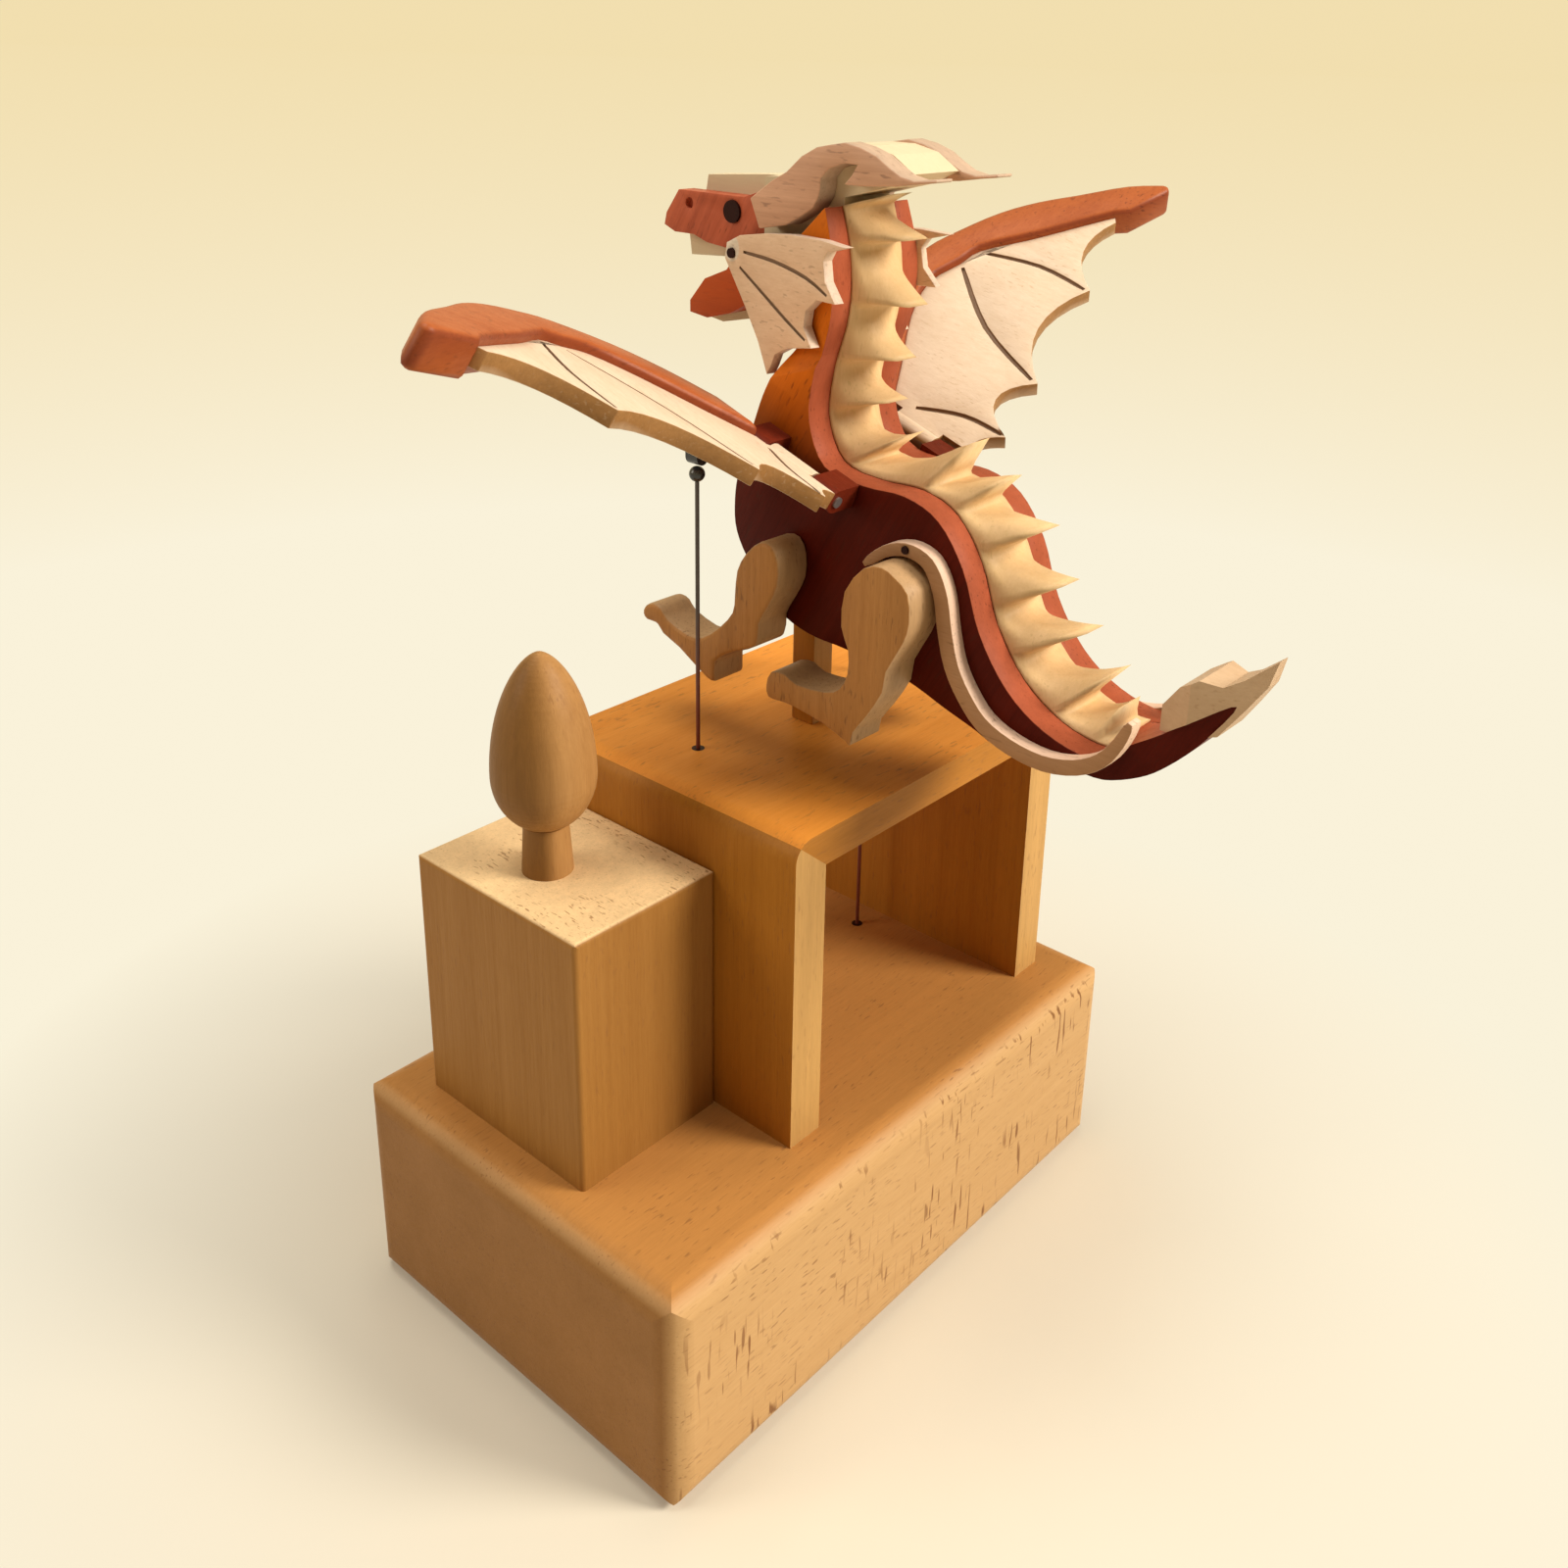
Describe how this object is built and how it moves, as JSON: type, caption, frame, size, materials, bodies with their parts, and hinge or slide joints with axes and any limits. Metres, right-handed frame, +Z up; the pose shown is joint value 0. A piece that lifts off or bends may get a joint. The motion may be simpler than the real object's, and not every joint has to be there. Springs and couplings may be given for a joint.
{
  "type": "music box",
  "caption": "Wooden crank music box: a dragon flies over an open stage on a block base, and push rods flap its hinged wings while a pinned cylinder turns under a comb.",
  "frame": {"origin": "centre of the base's underside, on the table", "axes": "+X to the object's right, +Y to the back where the crank is, +Z up"},
  "size_m": [0.1724, 0.1416, 0.195],
  "materials": {
    "beech": "satin",
    "padauk": "satin",
    "maple": "satin",
    "boxwood": "satin",
    "rosy_wood": "satin",
    "dark_wood": "satin",
    "brass": "polished",
    "steel": "brushed",
    "black_bead": "gloss"
  },
  "bodies": {
    "frame": {"base_block": "beech", "bottom_plate": "beech", "plate_screws": "brass", "tower_block": "beech", "tree_trunk": "beech", "tree_crown": "beech", "stage_left_wall": "beech", "stage_right_wall": "beech", "stage_top": "beech", "rod_bushes": "dark_wood", "crank_bush": "brass", "bedplate": "brass", "movement_screws": "steel", "movement_brackets": "brass", "comb": "steel", "support_post": "beech", "body_core": "padauk", "left_side_plate": "padauk", "right_side_plate": "padauk", "crest": "boxwood", "tail_spade": "boxwood", "left_haunch_strip": "beech", "right_haunch_strip": "beech", "dowels": "dark_wood", "left_front_leg": "beech", "right_front_leg": "beech", "left_hind_leg": "beech", "right_hind_leg": "beech", "head_core": "boxwood", "crown_core": "boxwood", "left_cheek": "padauk", "right_cheek": "padauk", "jaw_core": "boxwood", "left_jaw": "padauk", "right_jaw": "padauk", "left_horn": "rosy_wood", "right_horn": "rosy_wood", "left_frill": "rosy_wood", "right_frill": "rosy_wood", "eyes": "dark_wood", "hinge_lugs": "padauk", "hinge_pins": "steel"},
    "crank": {"crank_shaft": "steel", "lift_cam": "brass", "drive_pinion": "brass", "crank_arm": "steel"},
    "knob": {"crank_knob": "beech"},
    "cylinder": {"music_cylinder": "brass", "cylinder_arbor": "steel", "cylinder_gear": "brass"},
    "lifter": {"lift_beam": "brass", "push_rods": "steel", "rod_tips": "black_bead"},
    "left_wing": {"left_wing_bone": "padauk", "left_wing_membrane": "maple", "left_wing_lug": "black_bead"},
    "right_wing": {"right_wing_bone": "padauk", "right_wing_membrane": "maple", "right_wing_lug": "black_bead"}
  },
  "joints": [
    {"name": "crank_turn", "type": "hinge", "parent": "frame", "child": "crank", "pos_m": [0.0136, 0.038, 0.02245], "axis": [0, 1, 0], "continuous": true},
    {"name": "knob_spin", "type": "hinge", "parent": "crank", "child": "knob", "pos_m": [0.0296, 0.05, 0.02245], "axis": [0, 1, 0], "continuous": true},
    {"name": "cylinder_turn", "type": "hinge", "parent": "frame", "child": "cylinder", "pos_m": [0.0001, 0.002, 0.01745], "axis": [0, 1, 0], "continuous": true},
    {"name": "lifter_slide", "type": "slide", "parent": "frame", "child": "lifter", "axis": [0, 0, 1], "range_m": [-0.0016, 0.0016]},
    {"name": "left_wing_flap", "type": "hinge", "parent": "frame", "child": "left_wing", "pos_m": [-0.0019, -0.0036, 0.1472], "axis": [0, 0.9426, 0.3338], "range_deg": [-13.9, 13.9]},
    {"name": "right_wing_flap", "type": "hinge", "parent": "frame", "child": "right_wing", "pos_m": [0.0291, -0.0036, 0.1472], "axis": [0, -0.9426, -0.3338], "range_deg": [-13.9, 13.9]}
  ],
  "couplings": [
    {"joint": "cylinder_turn", "follows": "crank_turn", "ratio": -0.5},
    {"joint": "left_wing_flap", "follows": "lifter_slide", "rad_per_m": 151.55},
    {"joint": "right_wing_flap", "follows": "lifter_slide", "rad_per_m": 151.55}
  ]
}
